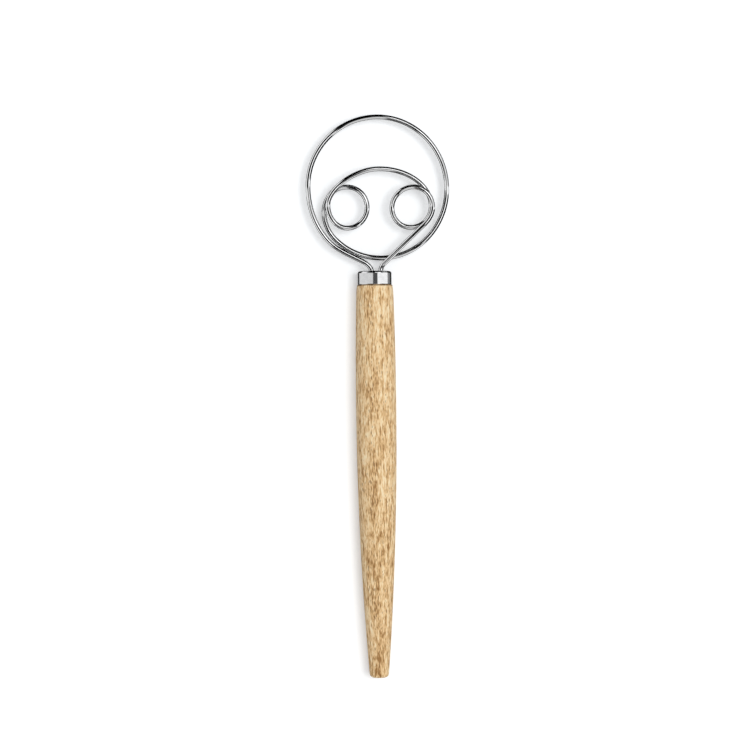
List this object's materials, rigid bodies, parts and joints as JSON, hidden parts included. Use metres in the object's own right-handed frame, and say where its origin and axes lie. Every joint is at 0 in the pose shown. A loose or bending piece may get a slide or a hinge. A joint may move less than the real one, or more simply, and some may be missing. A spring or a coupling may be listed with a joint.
{
  "type": "dough whisk",
  "caption": "Hand whisk for stiff dough: a flat head bent from one round steel wire into a ring with coiled inner loops, set through a ferrule in a turned wooden handle.",
  "frame": {"origin": "centre of the handle's flat butt face", "axes": "+Y along the handle's axis towards the wire head, +X to the right across the head, +Z square to the head's loops, away from the side it lies on"},
  "size_m": [0.0892, 0.3501, 0.025],
  "materials": {
    "wire": "polished",
    "ferrule": "polished",
    "handle": "satin",
    "adhesive": "matte"
  },
  "bodies": {
    "root": {"whisk_wire": "wire", "ferrule": "ferrule", "handle": "handle", "adhesive_plug": "adhesive"}
  },
  "joints": []
}
